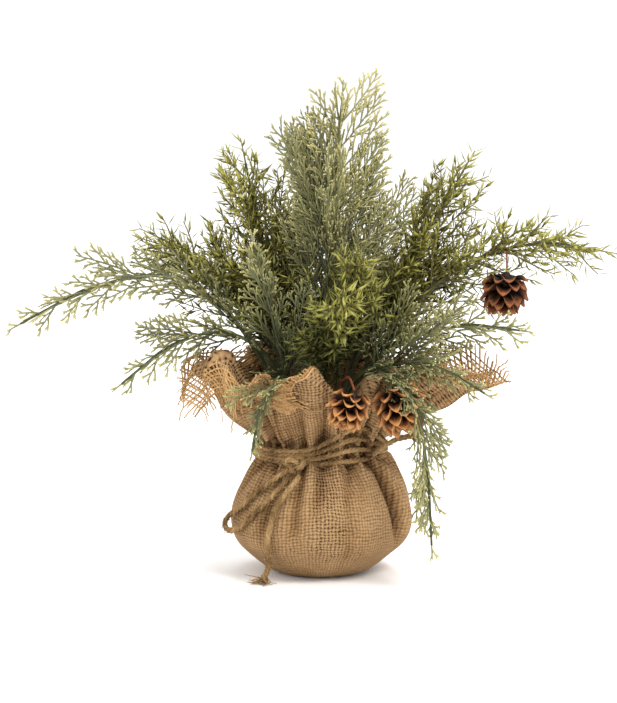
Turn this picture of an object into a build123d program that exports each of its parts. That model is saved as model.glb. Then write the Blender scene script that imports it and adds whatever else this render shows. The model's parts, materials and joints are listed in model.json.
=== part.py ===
from build123d import *
import os
from math import cos, exp, inf, pi, radians, sin, tan

# Artificial tabletop tree: spruce and cedar picks on bendable wires, with pine cones,
# planted in a weighted pot that is wrapped in burlap and tied with jute twine.
# Millimetres, +Z up, front towards -Y. The origin is the centre of the flat underside.

os.makedirs("parts", exist_ok=True)

# Driving dimensions of the wrapped base
CLOTH_THICKNESS = 1.2
FOOT_RADIUS = 36.0
BELLY_RADIUS = 63.5
BELLY_HEIGHT = 40.0
NECK_RADIUS = 43.0
NECK_BOTTOM = 84.0
NECK_TOP = 94.0
COLLAR_TOP = 150.0
RIM_HEIGHT = 140.0
RIM_TILT_DEG = 8.0
COLLAR_STEP = 0.3

# Pot, weight and foam inside the cloth
POT_GAP = 7.0
POT_WALL = 1.5
POT_TOP = 74.0
CEMENT_TOP = 30.0
FOAM_TOP = 70.0

# Picks: a wire core in a moulded sheath with twigs, on a ball in a cup
WIRE_RADIUS = 0.8
SHEATH_RADIUS = 1.6
TWIG_RADIUS = 1.1
BALL_RADIUS = 2.0
CUP_CLEARANCE = 0.06
CUP_RADIUS = 2.9
STUB_BOTTOM = 50.0
SHEATH_START = 0.07
STEM_BEND_RADIUS = 60.0

# Jute twine
TWINE_RADIUS = 1.9
KNOT_RADIUS = 5.0
WRAP_GAP = 0.4
WRAP_BAND = 4.0

# Inner ring of picks stands a little higher than the outer ring
INNER_RING = (13.0, 110.0)
OUTER_RING = (19.0, 102.0)

# Each pick lies in its own upright plane through the tree's axis: its azimuth in degrees,
# its stem as (distance from the axis, height) from the ball outwards, and its twigs as
# (how many, longest, angle from the stem, share of that length on the side near the axis).
PICKS = {
    "top_cedar": (
        7, [(0, 118), (2, 170), (6, 228), (12, 285), (15, 328)], (14, 76, 38, 0.8)
    ),
    "right_spruce_upper": (
        18, [INNER_RING, (33, 165), (60, 212), (88, 250), (106, 279)], (10, 46, 48, 0.8)
    ),
    "right_spruce_long": (
        -4, [OUTER_RING, (44, 158), (74, 200), (115, 226), (158, 235), (192, 229)],
        (12, 44, 50, 0.8)
    ),
    "right_cedar_fan": (
        -20, [INNER_RING, (34, 150), (70, 172), (110, 181), (146, 178)], (10, 42, 38, 0.8)
    ),
    "right_lower_cedar": (
        -33, [OUTER_RING, (41, 142), (76, 158), (108, 150), (134, 138)], (9, 34, 40, 0.6)
    ),
    "right_hanging_cedar": (
        -47, [INNER_RING, (37, 146), (70, 154), (98, 132), (109, 80), (112, 34)],
        (9, 30, 34, 0.5)
    ),
    "inner_right_spruce": (
        -63, [OUTER_RING, (29, 150), (41, 192), (54, 228)], (8, 40, 46, 0.5)
    ),
    "centre_spruce": (
        -80, [INNER_RING, (34, 158), (64, 190), (92, 208)], (8, 38, 50, 0.8)
    ),
    "curled_spray": (
        -100, [OUTER_RING, (26, 128), (32, 150), (37, 174)], (6, 16, 40, 0.6)
    ),
    "front_cedar": (
        -122, [INNER_RING, (33, 142), (62, 146), (80, 124), (88, 98)], (8, 28, 36, 0.4)
    ),
    "inner_left_cedar": (
        -145, [OUTER_RING, (31, 150), (44, 195), (56, 236)], (8, 44, 38, 0.5)
    ),
    "left_lower_cedar": (
        -162, [INNER_RING, (36, 156), (70, 176), (110, 166), (144, 140)], (10, 38, 38, 0.6)
    ),
    "left_drooping_cedar": (
        178, [OUTER_RING, (44, 160), (78, 197), (116, 212), (165, 199), (210, 174)],
        (13, 48, 34, 0.8)
    ),
    "left_spruce_lower": (
        163, [INNER_RING, (37, 162), (68, 202), (96, 222), (118, 231)], (11, 46, 50, 0.8)
    ),
    "left_spruce_upper": (
        146, [OUTER_RING, (33, 168), (50, 232), (63, 284)], (12, 50, 46, 0.6)
    ),
    "back_left_cedar": (
        128, [INNER_RING, (39, 162), (78, 194), (114, 200)], (10, 46, 40, 0.8)
    ),
    "back_spruce": (
        104, [OUTER_RING, (41, 163), (67, 212), (88, 244)], (10, 46, 48, 0.7)
    ),
    "back_cedar": (
        80, [INNER_RING, (38, 158), (78, 184), (116, 178)], (10, 42, 38, 0.7)
    ),
    "back_right_spruce": (
        54, [OUTER_RING, (44, 158), (80, 194), (112, 210)], (10, 46, 48, 0.8)
    ),
}

# The small front cone has a wire of its own, planted beside the bundle
LEFT_CONE_AZIMUTH = -71
LEFT_CONE_STALK = [(28, 108), (41, 140), (62, 148), (72, 139)]

# Pine cones: length, largest radius, rings of scales, scales in a ring
LARGE_CONE = (33.0, 14.0, 6, 9)
MEDIUM_CONE = (27.0, 11.5, 5, 8)
SMALL_CONE = (28.0, 13.0, 5, 8)
STALK_LENGTH = 7.0
SCALE_LEAN_DEG = 38.0
SCALE_THICKNESS = 1.0

# Two cones hang from branches, at shares of the branch's length. The outer one hangs beside
# its branch.
RIGHT_CONE_AT = 0.385
SIDE_CONE_AT = 0.74
SIDE_CONE_ASIDE = -17.0
STALK_RADIUS = 0.6
RING_RADIUS = 2.6

# Free twine: the bow's loop, the long tail and the short tail, as lists of points
LOOP_ROUTE = [
    (-21.3, -48.4, 80.8), (-38, -43, 68.5), (-56, -33, 50.5), (-64, -25, 43.5),
    (-67.5, -24, 37), (-63, -30, 32.5), (-54, -41, 38.5), (-38, -49, 57), (-20, -53, 76),
]
TAIL_ROUTE = [
    (-14, -54.5, 77), (-24, -55.5, 65), (-32, -58, 51), (-36, -58.5, 37), (-36.5, -54.5, 23),
    (-35, -50, 11), (-39, -49, 3.5),
]
SHORT_TAIL_ROUTE = [
    (36.5, -33.5, 88.5), (41.5, -28.5, 91), (48, -30, 96), (56, -31.5, 100), (64, -31, 101),
]


def outwards(azimuth):
    """The level unit vector away from the tree's axis at an azimuth."""
    return Vector(cos(radians(azimuth)), sin(radians(azimuth)), 0)


def upright_point(azimuth, rho, height):
    return outwards(azimuth) * rho + Vector(0, 0, height)


def arc_radii(points, largest):
    """For each corner of a route, the largest arc that its two runs allow, up to a limit."""
    radii = []
    for before, here, after in zip(points, points[1:], points[2:]):
        turn = radians((here - before).get_angle(after - here))
        shorter = min((here - before).length, (after - here).length)
        radii.append(min(largest, 0.45 * shorter / tan(turn / 2)))
    return radii


def save(name, part):
    part.label = name
    export_step(part, f"parts/{name}.step")


def bowl(foot, belly, neck, bottom, top):
    """A bowl's half section, from the axis to its side."""
    with BuildSketch(Plane.XZ) as section:
        with BuildLine():
            Line((0, bottom), (foot, bottom))
            Spline(
                (foot, bottom),
                (belly - 4.5, 0.45 * BELLY_HEIGHT),
                (belly, BELLY_HEIGHT),
                (0.42 * belly + 0.58 * neck, 0.42 * BELLY_HEIGHT + 0.58 * NECK_BOTTOM),
                (neck, top),
            )
            Line((neck, top), (0, top))
            Line((0, top), (0, bottom))
        make_face()
    return section.sketch


# Wrapped base: pot, cement and foam

POT_FOOT = FOOT_RADIUS - POT_GAP
POT_BELLY = BELLY_RADIUS - POT_GAP - CLOTH_THICKNESS
POT_MOUTH = NECK_RADIUS - POT_GAP
POT_INSIDE = (POT_FOOT - POT_WALL, POT_BELLY - POT_WALL, POT_MOUTH - POT_WALL)


def pot_filling(name, bottom, top, bores=()):
    """What lies in the pot between two heights, with a bore for each stub wire."""
    with BuildPart() as filling:
        revolve(bowl(*POT_INSIDE, CLOTH_THICKNESS + POT_WALL, POT_TOP), axis=Axis.Z)
        split(bisect_by=Plane.XY.offset(top), keep=Keep.BOTTOM)
        if bottom > 0:
            split(bisect_by=Plane.XY.offset(bottom), keep=Keep.TOP)
        for x, y in bores:
            with BuildSketch(Plane((x, y, STUB_BOTTOM))):
                Circle(WIRE_RADIUS)
            extrude(amount=top - STUB_BOTTOM, mode=Mode.SUBTRACT)
    save(name, filling.part)


with BuildPart() as liner_pot:
    revolve(bowl(POT_FOOT, POT_BELLY, POT_MOUTH, CLOTH_THICKNESS, POT_TOP), axis=Axis.Z)
    revolve(
        bowl(*POT_INSIDE, CLOTH_THICKNESS + POT_WALL, POT_TOP),
        axis=Axis.Z,
        mode=Mode.SUBTRACT,
    )
save("liner_pot", liner_pot.part)

root_places = {}
for pick_name, (azimuth, stem, _) in PICKS.items():
    root_places[pick_name] = (azimuth, *stem[0])
root_places["left_cone"] = (LEFT_CONE_AZIMUTH, *LEFT_CONE_STALK[0])
root_points = [upright_point(*place) for place in root_places.values()]
pot_filling("cement_weight", 0, CEMENT_TOP)
pot_filling("foam_plug", CEMENT_TOP, FOAM_TOP, [(root.X, root.Y) for root in root_points])

# Stub wires stand in the foam, each with a cup for its pick's ball

with BuildPart() as stem_stubs:
    for root in root_points:
        with BuildSketch(Plane((root.X, root.Y, STUB_BOTTOM))):
            Circle(WIRE_RADIUS)
        extrude(amount=root.Z - CUP_RADIUS - STUB_BOTTOM)
        with BuildSketch(Plane((root.X, root.Y, root.Z - CUP_RADIUS))):
            Circle(CUP_RADIUS)
        extrude(amount=CUP_RADIUS)
        with Locations(root):
            Sphere(BALL_RADIUS + CUP_CLEARANCE, mode=Mode.SUBTRACT)
save("stem_stubs", stem_stubs.part)

with BuildPart() as floral_tape:
    with BuildSketch(Plane.XY.offset(NECK_BOTTOM - 4)):
        Circle(OUTER_RING[0] + WIRE_RADIUS + 1.0)
        Circle(OUTER_RING[0] + WIRE_RADIUS + 0.1, mode=Mode.SUBTRACT)
    extrude(amount=12)
save("floral_tape", floral_tape.part)

# Burlap wrap: a round bag, a straight neck and a flared collar with corners


def corner(angle, at, width):
    """How strongly one corner of the cloth stands out at an angle, from 0 to 1."""
    turn = (angle - at + 180) % 360 - 180
    return exp(-((turn / width) ** 2))


def collar_radius(angle, share):
    """The collar's outer radius at an angle, from the neck (0) to the rim (1)."""
    spread = 18 + 36 * corner(angle, 200, 26) + 42 * corner(angle, 358, 24)
    spread += 22 * corner(angle, 92, 30)
    return NECK_RADIUS + COLLAR_STEP + spread * share**0.8


def collar_section(height, share, inset):
    with BuildSketch(Plane.XY.offset(height)) as section:
        with BuildLine():
            Spline(
                *[
                    (
                        (collar_radius(angle, share) - inset) * cos(radians(angle)),
                        (collar_radius(angle, share) - inset) * sin(radians(angle)),
                    )
                    for angle in range(0, 360, 15)
                ],
                periodic=True,
            )
        make_face()
    return section.sketch


def collar_body(inset):
    """The collar's outside, or its inside with an inset, as a full solid."""
    shares = [0, 0.5, 1]
    with BuildPart() as body:
        loft(
            [
                collar_section(NECK_TOP + share * (COLLAR_TOP - NECK_TOP), share, inset)
                for share in shares
            ]
        )
    return body.part


with BuildPart() as burlap_wrap:
    add(collar_body(0))
    add(collar_body(1.6 * CLOTH_THICKNESS), mode=Mode.SUBTRACT)
    split(
        bisect_by=Plane.XY.rotated((RIM_TILT_DEG, 0, 0)).offset(RIM_HEIGHT),
        keep=Keep.BOTTOM,
    )
    revolve(bowl(FOOT_RADIUS, BELLY_RADIUS, NECK_RADIUS, 0, NECK_BOTTOM), axis=Axis.Z)
    with BuildSketch(Plane.XY.offset(NECK_BOTTOM)):
        Circle(NECK_RADIUS)
    extrude(amount=NECK_TOP - NECK_BOTTOM)
    revolve(
        bowl(
            FOOT_RADIUS - CLOTH_THICKNESS,
            BELLY_RADIUS - CLOTH_THICKNESS,
            NECK_RADIUS - CLOTH_THICKNESS,
            CLOTH_THICKNESS,
            NECK_BOTTOM,
        ),
        axis=Axis.Z,
        mode=Mode.SUBTRACT,
    )
    with BuildSketch(Plane.XY.offset(NECK_BOTTOM)):
        Circle(NECK_RADIUS - CLOTH_THICKNESS)
    extrude(amount=NECK_TOP - NECK_BOTTOM, mode=Mode.SUBTRACT)
save("burlap_wrap", burlap_wrap.part)

# Twine: the turns round the neck as one band, the knot, and the free ends

with BuildPart() as twine_wrap:
    with BuildSketch(Plane.XZ):
        with Locations((NECK_RADIUS + WRAP_GAP + WRAP_BAND / 2, (NECK_BOTTOM + NECK_TOP) / 2)):
            RectangleRounded(WRAP_BAND, NECK_TOP - NECK_BOTTOM, 1.8)
    revolve(axis=Axis.Z)
save("twine_wrap", twine_wrap.part)

KNOT_AZIMUTH = -109
KNOT_REACH = NECK_RADIUS + WRAP_GAP + WRAP_BAND + KNOT_RADIUS + 0.2

with BuildPart() as twine_knot:
    with Locations(
        (
            KNOT_REACH * cos(radians(KNOT_AZIMUTH)),
            KNOT_REACH * sin(radians(KNOT_AZIMUTH)),
            NECK_BOTTOM,
        )
    ):
        Sphere(KNOT_RADIUS)
save("twine_knot", twine_knot.part)


def cord(name, route):
    """A tube along straight runs, each pair joined by the largest arc that fits."""
    points = [Vector(*point) for point in route]
    radii = arc_radii(points, inf)
    with BuildPart() as tube:
        with BuildLine() as path:
            FilletPolyline(*points, radius=radii)
        centre = path.wire()
        with BuildSketch(Plane(origin=centre @ 0, z_dir=centre % 0)):
            Circle(TWINE_RADIUS)
        sweep()
    volume_share = tube.part.volume / (pi * TWINE_RADIUS**2 * centre.length)
    print(name, "length", round(centre.length, 1), "volume share", round(volume_share, 4))
    print(name, "radii", [round(radius, 1) for radius in radii])
    save(name, tube.part)


cord("twine_loop", LOOP_ROUTE)
cord("twine_tail", TAIL_ROUTE)
cord("twine_short_tail", SHORT_TAIL_ROUTE)

# Picks


def tube_along(path, radius, start, mode=Mode.ADD):
    """Sweeps a round section along a path from a share of its length to its end."""
    stretch = path.trim(start, 1) if start > 0 else path
    with BuildSketch(Plane(origin=path @ start, z_dir=path % start)) as section:
        Circle(radius)
    sweep(section.sketch, path=stretch, mode=mode)


def stem_path(azimuth, stem):
    points = [upright_point(azimuth, rho, height) for rho, height in stem]
    with BuildLine() as line:
        FilletPolyline(*points, radius=arc_radii(points, STEM_BEND_RADIUS))
    return line.wire()


def hinge_plane(azimuth, path):
    """The plane of a ball: its z is the axis that the pick bends about."""
    across = Vector(0, 0, 1).cross(outwards(azimuth))
    return Plane(origin=path @ 0, x_dir=-(path % 0), z_dir=across)


def wire_core(name, azimuth, path):
    """A pick's wire, which ends in the ball that the pick bends on."""
    with BuildPart() as wire:
        with Locations(hinge_plane(azimuth, path)):
            Sphere(BALL_RADIUS)
        tube_along(path, WIRE_RADIUS, 0)
    save(name, wire.part)


def twig_ends(azimuth, path, twigs):
    """Each twig's start and end, left and right of the stem in turn, shorter to the tip."""
    count, longest, angle, near_share = twigs
    across = Vector(0, 0, 1).cross(outwards(azimuth))
    ends = []
    for index in range(count):
        along = (index + 0.5) / count
        share = 0.36 + 0.6 * along
        side = 1 if index % 2 else -1
        length = longest * (1 - 0.62 * along)
        if side < 0:
            length *= near_share
        direction = (path % share).rotate(Axis((0, 0, 0), across), side * angle)
        ends.append((path @ share, path @ share + direction * length))
    tip = path @ 1
    ends.append((tip, tip + (path % 1) * 0.25 * longest))
    return ends


def foliage(name, azimuth, path, twigs):
    """A pick's moulded sheath and twigs, hollow where the wire core runs."""
    with BuildPart() as green:
        tube_along(path, SHEATH_RADIUS, SHEATH_START)
        for start, end in twig_ends(azimuth, path, twigs):
            with BuildSketch(Plane(origin=start, z_dir=end - start)):
                Circle(TWIG_RADIUS)
            extrude(amount=(end - start).length)
        tube_along(path, WIRE_RADIUS, 0, mode=Mode.SUBTRACT)
    save(name, green.part)


for pick_name, (azimuth, stem, twigs) in PICKS.items():
    pick_path = stem_path(azimuth, stem)
    wire_core(f"{pick_name}_wire", azimuth, pick_path)
    foliage(f"{pick_name}_foliage", azimuth, pick_path, twigs)

# Pine cones: a spindle with rings of open scales, hanging tip down


def pine_cone(name, top, size):
    """A cone that hangs from its base at a point, with its tip straight down."""
    length, radius, rings, per_ring = size
    with BuildPart() as cone:
        with BuildSketch(Plane.XZ):
            with BuildLine():
                Line((0, 0), (0.3 * radius, 0))
                Spline(
                    (0.3 * radius, 0), (0.48 * radius, -0.4 * length), (1, -0.9 * length)
                )
                Line((1, -0.9 * length), (0, -0.9 * length))
                Line((0, -0.9 * length), (0, 0))
            make_face()
        revolve(axis=Axis.Z)
        for ring in range(rings):
            down = (ring + 0.5) / rings
            reach = radius * (1 - (1.5 * down - 0.55) ** 2) ** 0.5
            width = 1.84 * reach * sin(pi / per_ring)
            for turn in range(per_ring):
                angle = 360 * (turn + 0.5 * (ring % 2) + 0.2) / per_ring
                lean = radians(SCALE_LEAN_DEG)
                along = outwards(angle) * cos(lean) - Vector(0, 0, sin(lean))
                across = Vector(0, 0, 1).cross(outwards(angle))
                root = Vector(0, 0, -0.82 * down * length)
                plane = Plane(origin=root, x_dir=along, z_dir=along.cross(across))
                scale_length = reach / cos(lean)
                with BuildSketch(plane):
                    with Locations((0.6 * scale_length, 0)):
                        Ellipse(0.4 * scale_length, 0.5 * width)
                    with Locations((0.38 * scale_length, 0)):
                        Rectangle(0.44 * scale_length, 0.34 * width)
        extrude(amount=SCALE_THICKNESS / 2, both=True)
    save(name, cone.part.moved(Location(top)))


left_stalk = stem_path(LEFT_CONE_AZIMUTH, LEFT_CONE_STALK)
wire_core("left_cone_wire", LEFT_CONE_AZIMUTH, left_stalk)
pine_cone("left_cone", left_stalk @ 1 - Vector(0, 0, 0.62), MEDIUM_CONE)


def ring_stalk(branch, share):
    """A stalk that hangs from a ring round a branch. Returns its lower end."""
    azimuth, stem, _ = PICKS[branch]
    path = stem_path(azimuth, stem)
    across = Vector(0, 0, 1).cross(outwards(azimuth))
    ring_plane = Plane(origin=path @ share, x_dir=across, z_dir=path % share)
    low = path @ share - Vector(0, 0, RING_RADIUS + STALK_LENGTH)
    with BuildPart() as stalk:
        with Locations(ring_plane):
            Torus(RING_RADIUS, STALK_RADIUS)
        with BuildSketch(Plane(origin=low)):
            Circle(STALK_RADIUS)
        extrude(amount=STALK_LENGTH + 0.2)
    return stalk.part, low


def side_stalk(branch, share, aside):
    """A stalk that stands out sideways from a branch, then hangs. Returns its lower end."""
    azimuth, stem, _ = PICKS[branch]
    path = stem_path(azimuth, stem)
    across = Vector(0, 0, 1).cross(outwards(azimuth))
    start = path @ share + across * (SHEATH_RADIUS + 0.4) * (1 if aside > 0 else -1)
    elbow = path @ share + across * aside
    low = elbow - Vector(0, 0, 2 * STALK_LENGTH)
    with BuildPart() as stalk:
        with BuildLine() as line:
            FilletPolyline(start, elbow, low, radius=4)
        with BuildSketch(Plane(origin=start, z_dir=elbow - start)):
            Circle(STALK_RADIUS)
        sweep()
    return stalk.part, low


right_cone_stalk, right_cone_top = ring_stalk("right_hanging_cedar", RIGHT_CONE_AT)
save("right_cone_wire", right_cone_stalk)
pine_cone("right_cone", right_cone_top, LARGE_CONE)

side_cone_stalk, side_cone_top = side_stalk("right_spruce_long", SIDE_CONE_AT, SIDE_CONE_ASIDE)
save("side_cone_wire", side_cone_stalk)
pine_cone("side_cone", side_cone_top, SMALL_CONE)
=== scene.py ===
"""The looks of a small artificial tree: spruce and cedar picks, pine cones, and burlap tied with jute twine.
Lengths are in metres, or in mm where a comment says so. +Z is up, +X is to the right, -Y is to the front."""
import json
import math

import bpy
import numpy as np
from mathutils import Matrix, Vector


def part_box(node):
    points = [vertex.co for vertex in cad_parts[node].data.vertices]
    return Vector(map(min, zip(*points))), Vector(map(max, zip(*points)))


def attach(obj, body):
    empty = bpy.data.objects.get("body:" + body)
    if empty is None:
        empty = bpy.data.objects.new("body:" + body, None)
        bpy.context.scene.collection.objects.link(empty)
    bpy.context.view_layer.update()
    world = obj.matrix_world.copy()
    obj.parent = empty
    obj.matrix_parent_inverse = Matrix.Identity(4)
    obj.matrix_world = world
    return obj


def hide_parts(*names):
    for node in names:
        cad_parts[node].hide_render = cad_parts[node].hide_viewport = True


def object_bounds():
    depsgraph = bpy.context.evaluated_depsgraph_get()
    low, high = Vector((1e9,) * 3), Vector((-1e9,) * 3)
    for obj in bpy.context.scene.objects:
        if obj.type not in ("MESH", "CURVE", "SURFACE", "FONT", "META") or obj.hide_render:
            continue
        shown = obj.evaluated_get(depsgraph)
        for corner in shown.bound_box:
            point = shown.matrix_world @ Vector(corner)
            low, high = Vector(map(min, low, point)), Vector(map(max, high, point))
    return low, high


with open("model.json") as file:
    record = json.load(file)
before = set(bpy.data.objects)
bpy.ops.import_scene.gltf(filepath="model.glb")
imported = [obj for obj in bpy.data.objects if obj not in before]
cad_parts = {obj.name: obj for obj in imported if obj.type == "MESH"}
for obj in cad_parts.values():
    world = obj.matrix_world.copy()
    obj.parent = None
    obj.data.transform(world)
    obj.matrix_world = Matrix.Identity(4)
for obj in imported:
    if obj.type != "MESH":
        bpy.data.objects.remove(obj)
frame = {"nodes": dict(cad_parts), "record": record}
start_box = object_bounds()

UP = np.array([0.0, 0.0, 1.0])
MM = 0.001
GOLDEN = 2.399963  # the golden angle, in radians
PAINTED_SHADE_CENTRE = (0.0, -0.02, 0.15)  # the inside of the crown, round which painted shade darkens the leaves and stems

INNER_RING = (13, 110)
OUTER_RING = (19, 102)
# Each pick: azimuth, the stem's points (distance from the axis, height) and its twigs, all in mm
# (count, longest, degrees from the stem, length on one side as a share of the other's)
PICKS = {
    "top_cedar": (7, [(0, 118), (2, 170), (6, 228), (12, 285), (15, 328)], (14, 76, 38, 0.8)),
    "right_spruce_upper": (18, [INNER_RING, (33, 165), (60, 212), (88, 250), (106, 279)], (10, 46, 48, 0.8)),
    "right_spruce_long": (
        -4, [OUTER_RING, (44, 158), (74, 200), (115, 226), (158, 235), (192, 229)], (12, 44, 50, 0.8)
    ),
    "right_cedar_fan": (-20, [INNER_RING, (34, 150), (70, 172), (110, 181), (146, 178)], (10, 42, 38, 0.8)),
    "right_lower_cedar": (-33, [OUTER_RING, (41, 142), (76, 158), (108, 150), (134, 138)], (9, 34, 40, 0.6)),
    "right_hanging_cedar": (
        -47, [INNER_RING, (37, 146), (70, 154), (98, 132), (109, 80), (112, 34)], (9, 30, 34, 0.5)
    ),
    "inner_right_spruce": (-63, [OUTER_RING, (29, 150), (41, 192), (54, 228)], (8, 40, 46, 0.5)),
    "centre_spruce": (-80, [INNER_RING, (34, 158), (64, 190), (92, 208)], (8, 38, 50, 0.8)),
    "curled_spray": (-100, [OUTER_RING, (26, 128), (32, 150), (37, 174)], (6, 16, 40, 0.6)),
    "front_cedar": (-122, [INNER_RING, (33, 142), (62, 146), (80, 124), (88, 98)], (8, 28, 36, 0.4)),
    "inner_left_cedar": (-145, [OUTER_RING, (31, 150), (44, 195), (56, 236)], (8, 44, 38, 0.5)),
    "left_lower_cedar": (-162, [INNER_RING, (36, 156), (70, 176), (110, 166), (144, 140)], (10, 38, 38, 0.6)),
    "left_drooping_cedar": (
        178, [OUTER_RING, (44, 160), (78, 197), (116, 212), (165, 199), (210, 174)], (13, 48, 34, 0.8)
    ),
    "left_spruce_lower": (163, [INNER_RING, (37, 162), (68, 202), (96, 222), (118, 231)], (11, 46, 50, 0.8)),
    "left_spruce_upper": (146, [OUTER_RING, (33, 168), (50, 232), (63, 284)], (12, 50, 46, 0.6)),
    "back_left_cedar": (128, [INNER_RING, (39, 162), (78, 194), (114, 200)], (10, 46, 40, 0.8)),
    "back_spruce": (104, [OUTER_RING, (41, 163), (67, 212), (88, 244)], (10, 46, 48, 0.7)),
    "back_cedar": (80, [INNER_RING, (38, 158), (78, 184), (116, 178)], (10, 42, 38, 0.7)),
    "back_right_spruce": (54, [OUTER_RING, (44, 158), (80, 194), (112, 210)], (10, 46, 48, 0.8)),
}
# Where a pick differs from the others of its kind: how much longer its twigs are than in the table above, how
# many long shoots start low on its stem, and how long those are at most (mm)
SCALE = {"right_hanging_cedar": 1.45, "centre_spruce": 1.1, "inner_right_spruce": 1.2, "curled_spray": 1.5}
USUAL_SCALE = {"spruce": 1.5, "cedar": 1.0}
BRUSH = {
    "top_cedar": 24, "curled_spray": 0, "centre_spruce": 2, "inner_right_spruce": 6, "front_cedar": 2,
    "right_hanging_cedar": 5, "left_drooping_cedar": 2, "right_spruce_long": 4, "right_cedar_fan": 4,
    "left_lower_cedar": 4,
}
USUAL_BRUSH = {"spruce": 9, "cedar": 5}
BRUSH_REACH = {
    "left_drooping_cedar": 50, "right_spruce_long": 50, "right_hanging_cedar": 50, "left_lower_cedar": 50,
    "right_cedar_fan": 50, "top_cedar": 115,
}
USUAL_BRUSH_REACH = 100

# The free twine, in mm
TWINE_RADIUS = 1.9
TWINE_LAY = 11.0
PLIES = 3
LOOP_ROUTE = [
    (-21.3, -48.4, 80.8), (-38, -43, 68.5), (-56, -33, 50.5), (-64, -25, 43.5),
    (-67.5, -24, 37), (-63, -30, 32.5), (-54, -41, 38.5), (-38, -49, 57), (-20, -53, 76),
]
TAIL_ROUTE = [
    (-14, -54.5, 77), (-24, -55.5, 65), (-32, -58, 51), (-36, -58.5, 37), (-36.5, -54.5, 23),
    (-35, -50, 11), (-39, -49, 3.5),
]
SHORT_TAIL_ROUTE = [
    (36.5, -33.5, 88.5), (41.5, -28.5, 91), (48, -30, 96), (56, -31.5, 100), (64, -31, 101),
]
KNOT = (-17.1, -49.7, 84.0)

# The burlap, in mm, and its threads across the bag
CLOTH_SIDE = 350.0
THREAD_PITCH = 2.3
ROUND_THREADS = 154

# -------- mesh helpers


def unit(vectors):
    return vectors / np.maximum(np.linalg.norm(vectors, axis=-1, keepdims=True), 1e-12)


def outwards(azimuth):
    return np.array([math.cos(math.radians(azimuth)), math.sin(math.radians(azimuth)), 0.0])


def smooth(low, high, value):
    share = np.clip((np.asarray(value, float) - low) / (high - low), 0, 1)
    return share * share * (3 - 2 * share)


def bell(offset, width):
    return np.exp(-((offset / width) ** 2))


def degrees_from(centre, azimuth):
    """The turn from one azimuth to another, between -180 and 180 degrees."""
    return (azimuth - centre + 180) % 360 - 180


def distance_along(line):
    return np.concatenate([[0], np.cumsum(np.linalg.norm(np.diff(line, axis=0), axis=1))])


def even_points(line, step):
    """Points along a line at even distances of about one step."""
    gone = distance_along(line)
    count = max(3, int(round(gone[-1] / step)) + 1)
    at = np.linspace(0, gone[-1], count)
    return np.stack([np.interp(at, gone, line[:, k]) for k in range(3)], axis=1)


def round_path(points, step):
    """A line that starts and ends with the given points and rounds every corner between them."""
    points = np.asarray(points, float)
    middles = (points[1:-2] + points[2:-1]) / 2
    starts = np.vstack([points[:1], middles])
    ends = np.vstack([middles, points[-1:]])
    t = np.linspace(0, 1, 25)[:, None]
    bends = zip(starts, points[1:-1], ends)
    pieces = [(1 - t) ** 2 * start + 2 * t * (1 - t) * corner + t * t * end for start, corner, end in bends]
    return even_points(np.vstack([pieces[0]] + [piece[1:] for piece in pieces[1:]]), step)


class Build:
    """Points, faces and values per point, gathered until they become one mesh."""

    def __init__(self):
        self.points, self.faces, self.values, self.count = [], {3: [], 4: []}, {}, 0

    def add(self, points, quads=None, triangles=None, **values):
        points = np.asarray(points, float).reshape(-1, 3)
        for sides, faces in ((4, quads), (3, triangles)):
            if faces is not None and len(faces):
                self.faces[sides].append(np.asarray(faces).reshape(-1, sides) + self.count)
        for name, value in values.items():
            value = np.asarray(value, float)
            if value.ndim == 0:
                value = np.full(len(points), float(value))
            self.values.setdefault(name, []).append(value)
        self.points.append(points)
        self.count += len(points)

    def mesh(self, name, material, body, slot, replaces=()):
        points = np.vstack(self.points)
        groups = [np.vstack(faces) for faces in self.faces.values() if faces]
        sizes = np.concatenate([np.full(len(group), group.shape[1]) for group in groups])
        corners = np.concatenate([group.ravel() for group in groups])
        mesh = bpy.data.meshes.new(name)
        mesh.vertices.add(len(points))
        mesh.vertices.foreach_set("co", points.astype(np.float32).ravel())
        mesh.loops.add(len(corners))
        mesh.loops.foreach_set("vertex_index", corners.astype(np.int32))
        mesh.polygons.add(len(sizes))
        mesh.polygons.foreach_set("loop_start", np.concatenate([[0], np.cumsum(sizes)[:-1]]).astype(np.int32))
        mesh.polygons.foreach_set("use_smooth", np.full(len(sizes), True))
        for value_name, parts in self.values.items():
            values = np.concatenate(parts)
            kind = "FLOAT" if values.ndim == 1 else "FLOAT_VECTOR"
            field = "value" if values.ndim == 1 else "vector"
            layer = mesh.attributes.new(value_name, kind, "POINT")
            layer.data.foreach_set(field, values.astype(np.float32).ravel())
        mesh.update(calc_edges=True)
        mesh.materials.append(material)
        piece = bpy.data.objects.new(name, mesh)
        bpy.context.scene.collection.objects.link(piece)
        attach(piece, body)
        if replaces:
            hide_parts(*replaces)
        return piece


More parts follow.
